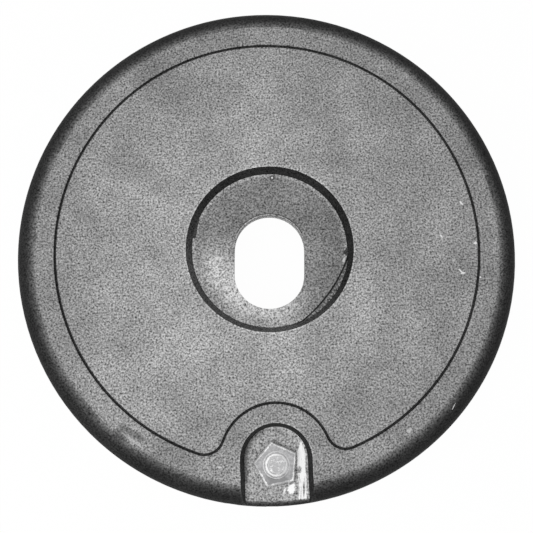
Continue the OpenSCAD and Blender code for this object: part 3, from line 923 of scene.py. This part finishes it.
# Two stretches of the left edge, which leave out the part beside the head, and the right edge
edge_points = [
    (x_mm * MM, y_mm * MM, edge_z)
    for x_mm, y_mm in (
        (14.2, -112.5), (13.2, -117), (12.6, -131), (11.9, -142), (16.6, -142), (16.7, -126), (15.4, -114),
    )
]
edge_data.from_pydata(edge_points, [(0, 1), (2, 3), (4, 5), (5, 6)], [])
slivers = bpy.data.objects.new("scrape_slivers", edge_data)
bpy.context.scene.collection.objects.link(slivers)
strew = slivers.modifiers.new("strew", "NODES")
strew.node_group = strewing
settings = {"Sliver": sliver, "Spacing": 2.2 * MM, "Sideways": 0.35 * MM, "Polymer": whitened_polymer}
for socket in strewing.interface.items_tree:
    if socket.name in settings:
        strew[socket.identifier] = settings[socket.name]
evaluated = slivers.evaluated_get(bpy.context.evaluated_depsgraph_get())
plain_data = bpy.data.meshes.new_from_object(evaluated)
slivers.modifiers.remove(strew)
slivers.data = plain_data
slivers.data.name = "scrape_slivers"
bpy.data.objects.remove(sliver)
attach(slivers, "cover")

# Floor
# White studio paper. The lamp lights it and the cover's shadow falls on it, but the camera and
# anything that reflects or lets light through see it nearly white.
half = 3.0
floor_shown = 0.98
floor_corners = [(-half, -half, 0), (half, -half, 0), (half, half, 0), (-half, half, 0)]
floor_mesh = bpy.data.meshes.new("floor")
floor_mesh.from_pydata(floor_corners, [], [(0, 1, 2, 3)])
floor = bpy.data.objects.new("floor", floor_mesh)
bpy.context.scene.collection.objects.link(floor)
paper, tree, shader, place = start_material("white_studio_paper", 0.9)
shader.inputs["Base Color"].default_value = linear("#f4f4f4")
rays = add(tree, "ShaderNodeLightPath")
seen = 0.0
for kind in ("Is Camera Ray", "Is Glossy Ray", "Is Transmission Ray"):
    seen = add(tree, "ShaderNodeMath", MAXIMUM, {0: seen, 1: rays.outputs[kind]})
seen = add(tree, "ShaderNodeMath", MULTIPLY, {0: seen, 1: floor_shown})
white = add(tree, "ShaderNodeEmission", None, {"Color": (1, 1, 1, 1), "Strength": 1.0})
shown = add(tree, "ShaderNodeMixShader", None, {0: seen, 1: shader, 2: white})
tree.links.new(shown.outputs[0], tree.nodes["Material Output"].inputs["Surface"])
floor_mesh.materials.append(paper)

# Light
# One large soft lamp above the lower left of the cover, and a room that fills the walls with light.
# The room looks white, also in what reflects it, but lights the cover with less than that.
room_light = 0.45
world = bpy.data.worlds.new("white_room")
bpy.context.scene.world = world
world.use_nodes = True
room = world.node_tree.nodes["Background"]
room.inputs["Color"].default_value = (1, 1, 1, 1)
rays = add(world.node_tree, "ShaderNodeLightPath")
seen = 0.0
for kind in ("Is Camera Ray", "Is Glossy Ray", "Is Transmission Ray"):
    seen = add(world.node_tree, "ShaderNodeMath", MAXIMUM, {0: seen, 1: rays.outputs[kind]})
strength = add(
    world.node_tree, "ShaderNodeMapRange", None, {"Value": seen, "To Min": room_light, "To Max": 1.0}
)
world.node_tree.links.new(strength.outputs[0], room.inputs["Strength"])
softbox_data = bpy.data.lights.new("softbox", "AREA")
softbox_data.shape = "SQUARE"
softbox_data.size = 0.9
softbox_data.energy = 8.1
softbox = bpy.data.objects.new("softbox", softbox_data)
softbox_place = Vector((-0.32, -0.24, 1.03))
softbox_turn = (softbox_place - Vector((0, 0, top_z))).to_track_quat("Z", "Y").to_matrix().to_4x4()
softbox.matrix_world = Matrix.Translation(softbox_place) @ softbox_turn
bpy.context.scene.collection.objects.link(softbox)

# Camera
# It looks down from half a metre above, leaning a little to the lock side, with the cover turned
# slightly in the picture.
picture_px = 533
focal_px = 851.7
lean = math.radians(8.2)
lean_towards = math.radians(-97.4)
picture_up = math.radians(87.7)
camera_distance = 494.5 * MM
aim = Vector((-1.07 * MM, -10.7 * MM, top_z))
lean_out = math.sin(lean)
back = Vector((lean_out * math.cos(lean_towards), lean_out * math.sin(lean_towards), math.cos(lean)))
right = Vector((math.cos(picture_up), math.sin(picture_up), 0)).cross(back).normalized()
camera_turn = Matrix((right, back.cross(right), back)).transposed().to_4x4()
camera_data = bpy.data.cameras.new("camera")
camera_data.sensor_width = 36
camera_data.lens = focal_px / picture_px * camera_data.sensor_width
camera_data.clip_start = 0.01
camera = bpy.data.objects.new("camera", camera_data)
camera.matrix_world = Matrix.Translation(aim + back * camera_distance) @ camera_turn
bpy.context.scene.collection.objects.link(camera)
bpy.context.scene.camera = camera
bpy.context.scene.view_settings.view_transform = "Standard"
